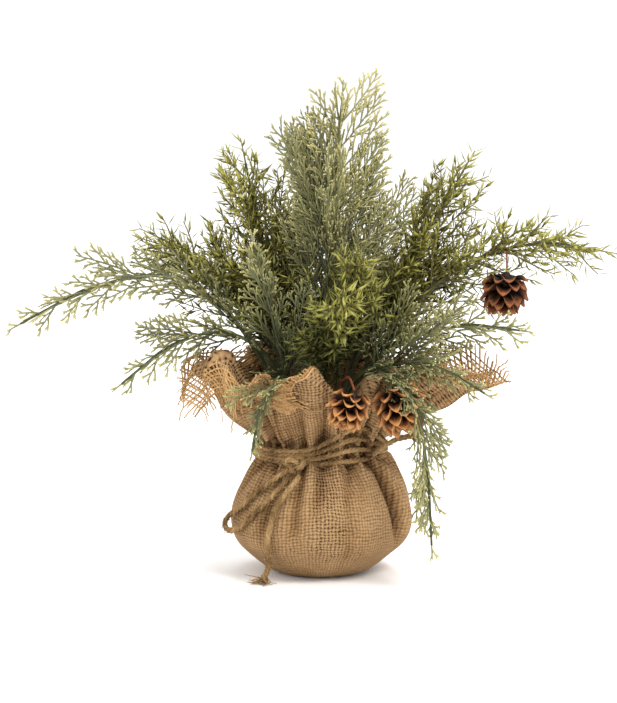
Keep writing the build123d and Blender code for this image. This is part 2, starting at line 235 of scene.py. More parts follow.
def tubes(build, lines, widths, heights, normals, sides, tip=0.0, **values):
    """One tube along each line. lines is (tubes, rings, 3), and widths and heights are (tubes, rings)."""
    count, rings = lines.shape[:2]
    tangents = unit(np.gradient(lines, axis=1))
    across = unit(np.cross(normals[:, None, :], tangents))
    upright = np.cross(tangents, across)
    turn = np.arange(sides) * 2 * math.pi / sides
    points = lines[:, :, None, :] + (
        np.cos(turn)[None, None, :, None] * (widths[..., None, None] * across[:, :, None, :])
        + np.sin(turn)[None, None, :, None] * (heights[..., None, None] * upright[:, :, None, :])
    )
    tips = lines[:, -1] + tangents[:, -1] * (tip + 0.4 * widths[:, -1:])
    stride = rings * sides + 1
    block = np.concatenate([points.reshape(count, -1, 3), tips[:, None]], axis=1)
    ring, side = np.meshgrid(np.arange(rings - 1), np.arange(sides), indexing="ij")
    here = ring * sides + side
    there = ring * sides + (side + 1) % sides
    quads = np.stack([here, there, there + sides, here + sides], axis=-1).reshape(-1, 4)
    last = (rings - 1) * sides + np.arange(sides)
    cap = np.stack([last, np.roll(last, -1), np.full(sides, rings * sides)], axis=-1)
    shift = (np.arange(count) * stride)[:, None, None]
    spread = {}
    for name, value in values.items():
        value = np.broadcast_to(np.asarray(value, float), (count, rings))
        spread[name] = np.concatenate([np.repeat(value, sides, axis=1), value[:, -1:]], axis=1).ravel()
    build.add(block, quads[None] + shift, cap[None] + shift, **spread)


# -------- materials


class Shader:
    """A material's node tree with short calls for the nodes it uses."""

    def __init__(self, name, roughness=0.6, specular=0.35):
        self.material = bpy.data.materials.new(name)
        self.material.use_nodes = True
        self.tree = self.material.node_tree
        self.surface = self.tree.nodes["Principled BSDF"]
        self.surface.inputs["Roughness"].default_value = roughness
        self.surface.inputs["Specular IOR Level"].default_value = specular

    def node(self, kind, settings=None, **inputs):
        node = self.tree.nodes.new(kind)
        for key, value in (settings or {}).items():
            setattr(node, key, value)
        for key, value in inputs.items():
            self.put(node.inputs[int(key[1:]) if key[1:].isdigit() else key.replace("_", " ")], value)
        return node

    def put(self, socket, value):
        if isinstance(value, bpy.types.NodeSocket):
            self.tree.links.new(value, socket)
        else:
            socket.default_value = value

    def math(self, operation, *values):
        node = self.node("ShaderNodeMath", {"operation": operation})
        for socket, value in zip(node.inputs, values):
            self.put(socket, value)
        return node.outputs[0]

    def value(self, name):
        return self.node("ShaderNodeAttribute", {"attribute_name": name}).outputs["Fac"]

    def vector(self, name):
        return self.node("ShaderNodeAttribute", {"attribute_name": name}).outputs["Vector"]

    def place(self):
        return self.node("ShaderNodeTexCoord").outputs["Object"]

    def noise(self, scale, detail=3.0, vector=None):
        node = self.node("ShaderNodeTexNoise", Scale=scale, Detail=detail)
        self.put(node.inputs["Vector"], self.place() if vector is None else vector)
        return node.outputs["Fac"]

    def ramp(self, factor, *stops):
        node = self.node("ShaderNodeValToRGB")
        elements = node.color_ramp.elements
        while len(elements) < len(stops):
            elements.new(0.5)
        for element, (position, colour) in zip(elements, stops):
            element.position = position
            element.color = (*linear(colour), 1)
        self.put(node.inputs["Fac"], factor)
        return node.outputs["Color"]

    def mix(self, factor, first, second, blend="MIX"):
        node = self.node("ShaderNodeMix", {"data_type": "RGBA", "blend_type": blend})
        self.put(node.inputs["Factor"], factor)
        self.put(node.inputs[6], first)
        self.put(node.inputs[7], second)
        return node.outputs[2]

    def colour(self, socket):
        self.put(self.surface.inputs["Base Color"], socket)

    def bump(self, height, distance, strength=1.0):
        node = self.node("ShaderNodeBump", Strength=strength, Distance=distance)
        self.put(node.inputs["Height"], height)
        self.put(self.surface.inputs["Normal"], node.outputs["Normal"])


def linear(colour):
    """A colour written as six hex digits, in linear light."""
    parts = [int(colour[k:k + 2], 16) / 255 for k in (0, 2, 4)]
    return [p / 12.92 if p <= 0.04045 else ((p + 0.055) / 1.055) ** 2.4 for p in parts]


def speckled(name, dark, light, scale, roughness, depth):
    """A plain material whose colour and surface vary a little."""
    shader = Shader(name, roughness)
    grain = shader.noise(scale, 5.0)
    shader.colour(shader.ramp(grain, (0.3, dark), (0.7, light)))
    shader.bump(grain, depth)
    return shader.material


def foliage_material(name, dark, middle, light, bark_dark, bark_light):
    """Moulded leaves whose shade follows the tint of each point, on stems wound in brownish tape.
    Both are darkened by painted shade near the heart of the crown."""
    shader = Shader(name, 0.5, 0.3)
    grain = shader.noise(260.0, 3.0)
    tint = shader.math("MULTIPLY_ADD", grain, 0.4, shader.math("SUBTRACT", shader.value("tint"), 0.2))
    leaf = shader.ramp(tint, (0.05, dark), (0.5, middle), (0.95, light))
    bark = shader.ramp(shader.noise(420.0, 4.0), (0.35, bark_dark), (0.65, bark_light))
    green = shader.mix(shader.value("bark"), leaf, bark)
    # Painted shade: the colour is multiplied towards a dark green, most within 3 cm of the crown's heart and
    # none beyond 10 cm
    away = shader.node("ShaderNodeVectorMath", {"operation": "DISTANCE"}, i0=shader.place(), i1=PAINTED_SHADE_CENTRE)
    inner = shader.node("ShaderNodeMapRange", i0=away.outputs["Value"], i1=0.03, i2=0.10, i3=0.8, i4=0.0)
    shader.colour(shader.mix(inner.outputs[0], green, (0.25, 0.30, 0.22, 1.0), "MULTIPLY"))
    shader.bump(grain, 0.0004, 0.6)
    return shader.material


def weave_material(name):
    """Plain woven jute: uneven threads that pass over and under each other, with holes between them. Its
    colour holds painted shade in the holes and where threads dip under, and a painted highlight where they
    ride on top.
    """
    shader = Shader(name, 0.88, 0.12)
    m = shader.math
    cloth = shader.node("ShaderNodeSeparateXYZ", Vector=shader.vector("cloth"))
    u = m("ADD", cloth.outputs["X"], m("MULTIPLY_ADD", shader.noise(110.0, 2.0), 1.5, -0.75))
    v = m("ADD", cloth.outputs["Y"], m("MULTIPLY_ADD", shader.noise(150.0, 2.0), 1.5, -0.75))
    row_u, row_v = m("FLOOR", u), m("FLOOR", v)
    in_u, in_v = m("SUBTRACT", m("FRACT", u), 0.5), m("SUBTRACT", m("FRACT", v), 0.5)
    flip = m("MULTIPLY_ADD", m("MODULO", m("ABSOLUTE", m("ADD", row_u, row_v)), 2.0), -2.0, 1.0)
    gap = shader.value("gap")

    def thread(row, inside, along, along_inside, sign):
        drift = m("MULTIPLY", along, 0.13)
        seed = shader.node("ShaderNodeCombineXYZ", X=m("MULTIPLY", row, 1.7), Y=drift, Z=sign * 7.0)
        slub = shader.noise(0.83, 2.0, seed.outputs[0])
        half = m("SUBTRACT", m("MULTIPLY_ADD", slub, 0.42, 0.285), m("MULTIPLY", gap, 0.2))
        offset = m("DIVIDE", inside, half)
        profile = m("SQRT", m("MAXIMUM", m("SUBTRACT", 1.0, m("MULTIPLY", offset, offset)), 0.0))
        lift = m("MULTIPLY", m("COSINE", m("MULTIPLY", along_inside, math.pi)), m("MULTIPLY", flip, sign))
        height = m("ADD", m("MULTIPLY_ADD", lift, 0.35, 0.6), m("MULTIPLY", profile, 0.7))
        return m("MULTIPLY", height, m("GREATER_THAN", profile, 0.01))

    height = m("MAXIMUM", thread(row_u, in_u, v, in_v, 1.0), thread(row_v, in_v, u, in_u, -1.0))
    patches = shader.noise(55.0, 6.0)
    fibres = shader.noise(700.0, 3.0)
    # The colour follows the threads' height: painted shade in the holes and where a thread dips under,
    # painted highlight where it rides on top. The patches and fibres are the jute's own mottling.
    level = m("ADD", height, m("MULTIPLY_ADD", patches, 0.9, m("MULTIPLY_ADD", fibres, 0.7, -0.8)))
    # Painted shade darkens the cloth's creases, pleats and gathered troughs
    level = m("SUBTRACT", level, m("MULTIPLY", shader.value("crease"), 0.95))
    shader.colour(
        shader.ramp(
            m("MULTIPLY", level, 0.55),
            (0.0, "2b1c10"), (0.34, "664a2e"), (0.6, "8d6d49"), (0.98, "b08f68"),
        )
    )
    shader.bump(m("MULTIPLY_ADD", fibres, 0.35, height), 0.0013, 1.0)
    return shader.material


def thread_material(name, dark, middle, light, scale):
    """Jute fibres, mottled round the tint of each point."""
    shader = Shader(name, 0.9, 0.1)
    fibres = shader.noise(scale, 4.0)
    level = shader.math("ADD", shader.value("tint"), shader.math("MULTIPLY_ADD", fibres, 0.7, -0.35))
    shader.colour(shader.ramp(level, (0.1, dark), (0.5, middle), (0.9, light)))
    shader.bump(fibres, 0.0006, 0.9)
    return shader.material


def cone_material(name, inside, middle, tip):
    """Woody scales, dark inside the cone and pale at their tips."""
    shader = Shader(name, 0.6, 0.25)
    grain = shader.noise(240.0, 4.0)
    level = shader.math("ADD", shader.value("tint"), shader.math("MULTIPLY_ADD", grain, 0.5, -0.25))
    shader.colour(shader.ramp(level, (0.1, inside), (0.55, middle), (0.95, tip)))
    shader.bump(grain, 0.0005, 0.7)
    return shader.material


spruce = foliage_material("spruce_leaves", "43431c", "8b8739", "aaa558", "453f24", "6c5f3a")
cedar = foliage_material("cedar_leaves", "484b36", "888659", "c6bc80", "4d5038", "777952")
pale_cedar = foliage_material("pale_leaves", "7d8c58", "a3b075", "c6cf96", "66643c", "8a8452")
burlap_cloth = weave_material("burlap_weave")
burlap_thread = thread_material("burlap_threads", "6e4d2c", "b08a5b", "d0ab7b", 700.0)
jute = thread_material("jute_twine", "4b3620", "8c6f49", "b7986c", 600.0)
tan_cone = cone_material("tan_cone_scales", "24130a", "7c4c27", "bb8550")
dark_cone = cone_material("dark_cone_scales", "1e120a", "4a2a16", "8a5230")

# -------- camera and lights

scene = bpy.context.scene
TARGET = Vector((-0.008, 0.0, 0.1555))
ELEVATION = math.radians(9)
DISTANCE = 3.0
VIEW_SIDE = 0.492
SENSOR_MM = 36.0
camera_data = bpy.data.cameras.new("camera")
camera_data.sensor_width = SENSOR_MM
camera_data.lens = SENSOR_MM * DISTANCE / VIEW_SIDE
camera = bpy.data.objects.new("camera", camera_data)
camera.location = TARGET + DISTANCE * Vector((0.0, -math.cos(ELEVATION), math.sin(ELEVATION)))
camera.rotation_euler = (TARGET - camera.location).to_track_quat("-Z", "Y").to_euler()
scene.collection.objects.link(camera)
scene.camera = camera
scene.view_settings.view_transform = "Standard"
scene.view_settings.look = "None"

world = bpy.data.worlds.new("studio")
world.use_nodes = True
world.node_tree.nodes["Background"].inputs["Color"].default_value = (1.0, 1.0, 1.0, 1.0)
world.node_tree.nodes["Background"].inputs["Strength"].default_value = 1.07
scene.world = world


def area_light(name, place, size, power, colour=(1.0, 1.0, 1.0)):
    """A round light that points at the middle of the tree."""
    data = bpy.data.lights.new(name, "AREA")
    data.shape = "DISK"
    data.size = size
    data.energy = power
    data.color = colour
    light = bpy.data.objects.new(name, data)
    light.location = place
    light.rotation_euler = (Vector((0.0, 0.0, 0.15)) - light.location).to_track_quat("-Z", "Y").to_euler()
    scene.collection.objects.link(light)


area_light("key", (0.9, -1.1, 1.5), 0.7, 24.0, (1.0, 0.98, 0.95))
area_light("top", (0.2, 0.5, 1.9), 1.2, 20.0)
area_light("left_fill", (-1.5, -1.2, 0.8), 1.2, 8.0)

FLOOR_LEVEL = -0.4 * MM
floor_mesh = bpy.data.meshes.new("floor")
floor_mesh.from_pydata(
    [(x, y, FLOOR_LEVEL) for x, y in ((-6, -6), (6, -6), (6, 12), (-6, 12))], [], [(0, 1, 2, 3)]
)
floor = bpy.data.objects.new("floor", floor_mesh)
floor_mesh.materials.append(speckled("floor_paper", "fafafa", "fdfdfd", 3.0, 0.9, 0.0))
scene.collection.objects.link(floor)

# -------- twine


def spline_line(route):
    """Points read from the smooth spline that has the route's points (mm) as its control points."""
    curve = bpy.data.curves.new("route", "CURVE")
    curve.dimensions = "3D"
    curve.resolution_u = 24
    spline = curve.splines.new("NURBS")
    spline.points.add(len(route) - 1)
    for point, place in zip(spline.points, route):
        point.co = (*(MM * value for value in place), 1.0)
    spline.order_u = 3
    spline.use_endpoint_u = True
    holder = bpy.data.objects.new("route", curve)
    mesh = bpy.data.meshes.new_from_object(holder)
    line = np.round([vertex.co for vertex in mesh.vertices], 7)
    bpy.data.objects.remove(holder)
    bpy.data.curves.remove(curve)
    bpy.data.meshes.remove(mesh)
    return even_points(line, 1.1 * MM)


def rope(build, line, radius, seed):
    """Plies twisted round a line."""
    rng = np.random.default_rng(seed)
    tangents = unit(np.gradient(line, axis=0))
    reference = UP if abs(tangents[len(line) // 2][2]) < 0.8 else np.array([0.0, 1.0, 0.0])
    across = unit(np.cross(tangents, reference))
    upright = np.cross(across, tangents)
    gone = distance_along(line)
    swell = 1 + 0.09 * np.sin(gone / 0.0043 + seed) + 0.06 * np.sin(gone / 0.0017)
    paths = []
    for ply in range(PLIES):
        turn = 2 * math.pi * (gone / (TWINE_LAY * MM) + ply / PLIES)[:, None]
        paths.append(line + 0.47 * radius * (np.cos(turn) * across + np.sin(turn) * upright))
    paths = np.stack(paths)
    thick = np.broadcast_to(0.6 * radius * swell, paths.shape[:2])
    tint = 0.45 + 0.18 * np.sin(gone / 0.006)[None, :] + rng.uniform(-0.12, 0.12, (PLIES, 1))
    normals = np.repeat(reference[None] + [[0.01, 0.02, 0.0]], PLIES, axis=0)
    tubes(build, paths, thick, thick, normals, 8, tint=tint)


def fuzz(build, line, radius, count, longest, seed):
    """Loose fibres that stand off a twine."""
    rng = np.random.default_rng(seed)
    index = rng.integers(1, len(line) - 1, count)
    tangents = unit(np.gradient(line, axis=0))[index]
    away = rng.normal(size=(count, 3))
    away = unit(away - (away * tangents).sum(1, keepdims=True) * tangents)
    length = longest * rng.uniform(0.35, 1.0, count)
    lean = rng.uniform(0.4, 2.2, count)[:, None] * np.where(rng.random(count) < 0.5, -1, 1)[:, None]
    s = np.linspace(0, 1, 5)[None, :, None]
    along = unit(away + lean * tangents)
    curl = unit(rng.normal(size=(count, 3)))
    starts = line[index] + away * radius * 0.8
    paths = starts[:, None] + length[:, None, None] * (s * along[:, None] + 0.35 * s * s * curl[:, None])
    paths[..., 2] = np.maximum(paths[..., 2], 0.3 * MM)
    thick = np.full((count, 5), 0.13 * MM) * np.linspace(1.2, 0.5, 5)
    tubes(build, paths, thick, thick, curl + 0.01, 3, tint=rng.uniform(0.4, 1.0, (count, 1)))


def frayed_end(build, point, direction, seed):
    """The open plies at a cut end."""
    strands, longest = 46, 12.5 * MM
    rng = np.random.default_rng(seed)
    spread = unit(unit(direction) + 0.55 * rng.normal(size=(strands, 3)))
    reach = longest * rng.uniform(0.5, 1.0, strands)
    s = np.linspace(0, 1, 6)[None, :, None]
    start = point + 1.2 * MM * rng.normal(size=(strands, 3))
    curl = unit(rng.normal(size=(strands, 3)))
    paths = start[:, None] + reach[:, None, None] * (s * spread[:, None] + 0.25 * s * s * curl[:, None])
    paths[..., 2] = np.maximum(paths[..., 2], 0.8 * MM)
    thick = np.full((strands, 6), 0.45 * MM) * np.linspace(1.2, 0.5, 6)
    tubes(build, paths, thick, thick, curl + 0.01, 5, tint=rng.uniform(0.3, 0.8, (strands, 1)))


def free_twine(name, route, far_end, fibre_count, seed):
    """A stretch of twine that hangs free, with its loose fibres, and opened out where its end is cut."""
    line = spline_line(route)
    strand, loose = Build(), Build()
    rope(strand, line, TWINE_RADIUS * MM, seed)
    fuzz(loose, line, TWINE_RADIUS * MM, fibre_count, 6 * MM, seed + 40)
    if far_end == "bare":
        frayed_end(loose, line[-1], line[-1] - line[-3], seed + 80)
    piece = strand.mesh(name + "_rope", jute, "base", "jute_twine", [name])
    fibre_piece = loose.mesh(name + "_fibres", jute, "base", "jute_twine")


free_twine("twine_loop", LOOP_ROUTE, "object", 300, 3)
free_twine("twine_tail", TAIL_ROUTE, "bare", 220, 5)
free_twine("twine_short_tail", SHORT_TAIL_ROUTE, "bare", 80, 7)

# -------- burlap wrap

# The side of the bag from the middle of its underside to the neck: distance from the axis and height, in mm
BAG_PROFILE = np.array([
    (0, 0.7), (27, 0.7), (33, 1.2), (38.5, 4.0), (45.5, 9.4), (52, 15), (58, 20.5), (61.4, 26.5), (63.2, 34),
    (63.4, 43), (61, 53), (56.5, 64), (52, 75), (47.5, 83), (44.5, 88.5), (44.5, 94),
])
# How the cloth runs beyond the neck (degrees, mm): azimuth, slope at the neck and higher up, where it folds
# over, slope after that fold, and the fold's length
COLLAR = [
    (186, 34, 60, 58, -70, 18),
    (205, 42, 72, 62, -88, 14),
    (228, 56, 66, 46, -60, 16),
    (258, 58, 60, 60, 190, 16),
    (290, 64, 80, 32, 255, 12),
    (325, 58, 58, 60, 190, 20),
    (357, 50, 34, 60, 5, 40),
    (405, 62, 62, 100, 30, 30),
    (452, 62, 56, 70, 20, 30),
    (505, 66, 70, 100, 40, 30),
]
FIRST_CORNER = 217  # the azimuth of the square's first corner before it is pulled aside
NECK_TURN = FIRST_CORNER - 45.0
PULLED_CORNERS = [200, 290, 357, 452, 560]  # where its corners, and the first one again, end up


PROFILE_LINE = round_path(np.column_stack([BAG_PROFILE, np.zeros(len(BAG_PROFILE))]), 0.5)[:, :2]
PROFILE_GONE = distance_along(PROFILE_LINE)
PROFILE_SLOPE = np.degrees(
    np.unwrap(np.arctan2(np.gradient(PROFILE_LINE[:, 1]), np.gradient(PROFILE_LINE[:, 0])))
)
NECK_AT = PROFILE_GONE[-1]
KEYS = np.array(COLLAR, float)
KEYS = np.vstack([KEYS, KEYS[:1] + [360, 0, 0, 0, 0, 0]])


def collar_value(azimuth, column):
    """A value of the collar's table at any azimuth, easing from one key to the next."""
    turned = (azimuth - KEYS[0, 0]) % 360 + KEYS[0, 0]
    after = np.clip(np.searchsorted(KEYS[:, 0], turned, side="right"), 1, len(KEYS) - 1)
    low, high = KEYS[after - 1], KEYS[after]
    share = (turned - low[..., 0]) / (high[..., 0] - low[..., 0])
    share = share * share * (3 - 2 * share)
    return low[..., column] * (1 - share) + high[..., column] * share


# Creases of the bag: azimuths of their top and bottom, heights of those, depth (mm) and width (degrees)
CREASES = [
    (-44, -27, 88, 26, 6.8, 4.0), (-71, -73, 30, 8, 1.3, 3.5), (-62, -70, 88, 60, 2.4, 4),
    (-88, -92, 88, 50, 2.6, 4), (-104, -108, 86, 34, 3.0, 4), (-122, -132, 86, 30, 3.2, 4.5),
    (-140, -150, 88, 45, 2.6, 4), (-158, -166, 88, 50, 2.6, 4), (-5, -2, 88, 46, 3.0, 4.5),
    (18, 22, 88, 40, 3.2, 4.5), (44, 48, 88, 46, 3.0, 4.5), (70, 76, 88, 38, 3.2, 4.5),
    (98, 100, 88, 46, 3.0, 4.5), (124, 126, 88, 40, 3.2, 4.5), (150, 156, 88, 44, 3.0, 4.5),
    (-178, -176, 88, 46, 3.0, 4),
]


def gathered_azimuth(angle, beyond):
    """The cloth's azimuth at an angle on its flat square. Its corners are pulled aside beyond the neck."""
    turned = degrees_from(FIRST_CORNER + 180, angle) + FIRST_CORNER + 180
    nearest = FIRST_CORNER + 90 * np.round((turned - FIRST_CORNER) / 90)
    spread = nearest + (turned - nearest) * (1 + 1.5 * smooth(24, 62, beyond))
    corners = FIRST_CORNER + 90 * np.arange(5)
    return turned + (np.interp(spread, corners, PULLED_CORNERS) - turned) * smooth(0, 35, beyond)


def side_and_slope(azimuth, reach):
    """The cloth's distance from the axis, height and slope, without folds, at a reach from its middle."""
    radius = np.interp(np.minimum(reach, NECK_AT), PROFILE_GONE, PROFILE_LINE[:, 0])
    height = np.interp(np.minimum(reach, NECK_AT), PROFILE_GONE, PROFILE_LINE[:, 1])
    on_bag_slope = np.interp(np.minimum(reach, NECK_AT), PROFILE_GONE, PROFILE_SLOPE)
    first, second, fold_at, folded, fold_run = (collar_value(azimuth, k) for k in (1, 2, 3, 4, 5))

    def collar_slope(run):
        return first + (second - first) * smooth(0, 30, run) + (folded - second) * smooth(
            fold_at, fold_at + fold_run, run
        )

    beyond = np.maximum(reach - NECK_AT, 0)
    steps = 64
    for k in range(steps):
        slope = np.radians(collar_slope(beyond * (k + 0.5) / steps))
        radius = radius + np.cos(slope) * beyond / steps
        height = height + np.sin(slope) * beyond / steps
    return radius, height, np.where(beyond > 0, collar_slope(beyond), on_bag_slope)


def bag_creases(azimuth, height):
    """How far the bag's own creases push the cloth outwards (mm), and how much painted shade darkens them."""
    crease = np.zeros_like(height)
    push = np.zeros_like(height)
    for top_at, low_at, top, bottom, depth, width in CREASES:
        share = np.clip((top - height) / (top - bottom), 0, 1)
        off = degrees_from(top_at + (low_at - top_at) * share, azimuth)
        groove = bell(off, width) * smooth(bottom - 10, bottom + 16, height)
        swell = bell(off - 2.7 * width, 2.2 * width) * smooth(bottom - 14, bottom + 16, height)
        push += -depth * groove + 0.5 * depth * swell
        # Painted shade in the groove of each crease
        crease = np.maximum(crease, groove * min(1.0, depth / 5))
    return push, crease


def cloth_point(u, v):
    """Where a point of the flat square (mm from its middle) lies when gathered, and how much painted shade
    its creases and pleats give it.
    """
    u, v = np.asarray(u, float), np.asarray(v, float)
    reach = np.hypot(u, v)
    beyond = np.maximum(reach - NECK_AT, 0)
    azimuth = gathered_azimuth(np.degrees(np.arctan2(v, u)) + NECK_TURN, beyond)
    a = np.radians(azimuth)
    radius, height, slope = side_and_slope(azimuth, reach)

    on_bag = reach < NECK_AT + 4
    push, crease = (on_bag * value for value in bag_creases(azimuth, height))
    front = bell(degrees_from(-105, azimuth), 60)
    pleat = 1 - np.abs(np.sin(14 * a + 1.4 * np.sin(2 * a) + 0.8 * np.sin(5 * a)))
    pleat = pleat * smooth(76, 88, height) * bell(beyond, 80)
    push -= (13.0 - 9.0 * front) * pleat
    # Painted shade in the hollows of the pleats
    crease = np.maximum(crease, 0.8 * pleat**2)
    gather = smooth(52, 92, height) ** 1.5 * bell(beyond, 34)
    uneven = 0.65 + 0.35 * np.sin(2 * a + 0.4) * np.sin(3 * a + 1.9)
    ripple = np.sin(14 * a + 1.6 * np.sin(3 * a) + 0.9 * np.sin(5 * a))
    ripple = ripple + 0.45 * np.sin(31 * a + 2 * np.sin(2 * a + 1))
    push += gather * (4.6 * uneven * ripple - 3.2)
    push += 2.4 * np.cos(a) * smooth(36, 66, height) * on_bag
    # Painted shade in the troughs of the ripples where the cloth is gathered
    crease = np.maximum(crease, 0.5 * gather * np.clip(-ripple, 0, 1))
    wave = np.sin(8 * a + 0.8 + 0.02 * beyond) + 0.6 * np.sin(13 * a + 2.2)
    push += smooth(3, 40, beyond) * (6.5 - 4.0 * front) * wave
    push += smooth(10, 60, beyond) * np.sin(beyond / 6 + 3 * a)
    # The twine holds the cloth in where it is tied
    tied = np.exp(-(((height - 89) / 9) ** 4))
    push = np.minimum(push, 12 * (1 - tied) - 0.6)
    # The underside stays flat
    push = push * smooth(2, 14, height) + smooth(10, 40, height) * np.sin(5 * a + height / 17)
    radius = radius + push * np.sin(np.radians(slope))
    height = np.maximum(height - push * np.cos(np.radians(slope)), 0.35)
    return np.stack([radius * np.cos(a), radius * np.sin(a), height], axis=-1) * MM, crease


def open_width(u, v):
    """How far in from the edge (mm) the cloth has lost threads, so that it is drawn thread by thread."""
    angle = np.degrees(np.arctan2(v, u)) + NECK_TURN
    at_left = bell(angle % 360 - FIRST_CORNER, 13)
    at_right = bell(degrees_from(FIRST_CORNER - 180, angle % 360), 16)
    return 3.0 + 13 * at_left + 16 * at_right


def weave_place(u, v, points, quads):
    """The numbers of the upright thread and the round one that cross at each corner of each face."""
    turned = np.degrees(np.arctan2(points[..., 1], points[..., 0])).ravel()[quads]
    turned = turned - 360 * np.round((turned - turned[:, :1]) / 360)
    reach = np.hypot(u, v).ravel()[quads]
    upright = turned / 360 * ROUND_THREADS + 0.7 * np.sin(np.radians(3 * turned) + reach / 30)
    around = reach / THREAD_PITCH + (
        0.9 * np.sin(np.radians(2 * turned) + 0.6) + 0.5 * np.sin(np.radians(5 * turned))
    )
    return np.stack([upright, around, np.zeros_like(reach)], axis=-1)


def make_cloth():
    half = CLOTH_SIDE / 2
    count = 205  # points along a side
    line = np.linspace(-half, half, count)
    u, v = np.meshgrid(line, line, indexing="ij")
    points, crease = cloth_point(u, v)
    inside = half - np.maximum(np.abs(u), np.abs(v)) >= open_width(u, v) - 1.5
    keep = inside[:-1, :-1] & inside[1:, :-1] & inside[1:, 1:] & inside[:-1, 1:]
    number = np.arange(count * count).reshape(count, count)
    quads = np.stack([number[:-1, :-1], number[1:, :-1], number[1:, 1:], number[:-1, 1:]], axis=-1)[keep]
    used = np.unique(quads)
    renumber = np.zeros(count * count, int)
    renumber[used] = np.arange(len(used))

    # The weave is open in the middle of the front and beyond the neck: its threads are narrower there, so
    # more of it takes the painted shade of the holes
    angle = np.degrees(np.arctan2(v, u)) + NECK_TURN
    reach = np.hypot(u, v)
    worn = smooth(50, 75, reach) * (1 - smooth(122, 140, reach))
    gap = 0.62 * np.exp(-((degrees_from(-84, angle) / 12) ** 4)) * worn
    gap = np.maximum(gap, 0.6 * smooth(NECK_AT + 15, NECK_AT + 60, reach))

    build = Build()
    build.add(
        points.reshape(-1, 3)[used], quads=renumber[quads], crease=crease.ravel()[used], gap=gap.ravel()[used]
    )
    piece = build.mesh("burlap_cloth", burlap_cloth, "base", "burlap", ["burlap_wrap"])
    layer = piece.data.attributes.new("cloth", "FLOAT_VECTOR", "CORNER")
    layer.data.foreach_set("vector", weave_place(u, v, points, quads).astype(np.float32).ravel())
    return piece


def make_cloth_threads():
    """The open border's own threads, over and under each other, and the loose ends beyond it."""
    rng = np.random.default_rng(11)
    half = CLOTH_SIDE / 2
    build = Build()
    rows = np.arange(-half + 1.2, half, THREAD_PITCH)
    for swap in (0, 1):
        for number, row in enumerate(rows):
            ends = rng.uniform(1.0, 7.5, 2) + 5 * (rng.random(2) < 0.12)
            at = np.arange(-half - ends[0], half + ends[1], THREAD_PITCH / 2)
            over = np.maximum(np.abs(at) - half, 0)
            beside = row + rng.normal(0, 0.35) + rng.normal(0, 0.16) * over
            u, v = (at, beside) if swap else (beside, at)
            edge = half - np.maximum(np.abs(u), np.abs(v))
            shown = edge < open_width(u, v) + 1.2
            shown &= ~((half - abs(row) < 1.5) & (rng.random() < 0.4))

            crossing = at / THREAD_PITCH - 0.5
            cells = np.round(crossing).astype(int)
            above = np.where((cells + number + swap) % 2, 1, -1)
            lift = 0.42 * np.cos(math.pi * (crossing - cells)) * above
            points, _ = cloth_point(u, v)
            step_u, _ = cloth_point(u + 0.5, v)
            step_v, _ = cloth_point(u, v + 0.5)
            normal = unit(np.cross(step_u - points, step_v - points))
            points = points + normal * (lift * MM)[:, None]
            points[:, 2] -= 0.35 * MM * np.minimum(over, 10) ** 1.3

            starts = np.flatnonzero(shown & ~np.concatenate([[False], shown[:-1]]))
            stops = np.flatnonzero(shown & ~np.concatenate([shown[1:], [False]])) + 1
            for a, b in zip(starts, stops):
                if b - a < 4:
                    continue
                thick = np.full(b - a, rng.uniform(0.5, 0.85) * MM) * np.where(over[a:b] > 1, 0.75, 1)
                tubes(
                    build, points[None, a:b], thick[None], thick[None], normal[a:a + 1], 4,
                    tint=rng.uniform(0.3, 0.75),
                )
    return build.mesh("burlap_threads", burlap_thread, "base", "burlap")


cloth = make_cloth()
cloth_threads = make_cloth_threads()

# -------- turns and knot of the tie


def neck_turn(number):
    """One turn of twine round the neck. The turns fan out towards the front right."""
    azimuth = np.append(np.arange(0, 360, 1.6), 360)
    angle = np.radians(azimuth)
    fan = bell(degrees_from(-58, azimuth), 30)
    height = 83.6 + 2.5 * number + fan * (1.5 + 5.2 * number)
    radius = 45.6 + 0.6 * np.sin(3 * angle + number) + 3.2 * fan * number / 3
    return np.stack([radius * np.cos(angle), radius * np.sin(angle), height], axis=-1) * MM


def tie_piece(name, fibres_name, node, lines, radius, count, longest, seed):
    """Tight turns of twine, which follow the lines, and their loose fibres."""
    twine, loose = Build(), Build()
    for number, line in enumerate(lines):
        rope(twine, line, radius, seed + number)
        fuzz(loose, line, radius, count, longest, seed + 40 + number)
    twine.mesh(name, jute, "base", "jute_twine", [node])
    loose.mesh(fibres_name, jute, "base", "jute_twine")


def knot_line():
    t = np.linspace(0, 2 * math.pi, 90)
    trefoil = [np.sin(t) + 2 * np.sin(2 * t), -1.1 * np.sin(3 * t), np.cos(t) - 2 * np.cos(2 * t)]
    return (np.array(KNOT) + 2.0 * np.stack(trefoil, axis=-1)) * MM


turns = [neck_turn(number) for number in range(4)]
tie_piece("twine_turns", "twine_turn_fibres", "twine_wrap", turns, 1.75 * MM, 220, 6.5 * MM, 20)
tie_piece("twine_knot_rope", "twine_knot_fibres", "twine_knot", [knot_line()], 1.9 * MM, 120, 7 * MM, 31)

# -------- foliage

LOW = np.array(start_box[0], float)
HIGH = np.array(start_box[1], float)
ROOM = 0.03 * (HIGH - LOW) + 8 * MM  # how far past the CAD box a leaf may reach


class Shoots:
    """Branches that start at points, run along directions and bend on their way."""

    FIELDS = ("base", "along", "bend", "length", "normal", "tint")

    def __init__(self, base, along, bend, length, normal, tint):
        self.base, self.along, self.bend = base, along, bend
        self.length, self.normal, self.tint = length, normal, tint

    def sample(self, index, share):
        share = share[:, None]
        at = self.base[index] + self.length[index, None] * (
            share * self.along[index] + 0.5 * share**2 * self.bend[index]
        )
        return at, unit(self.along[index] + share * self.bend[index]), self.normal[index]

    def pick(self, mask):
        return Shoots(*(getattr(self, field)[mask] for field in self.FIELDS))


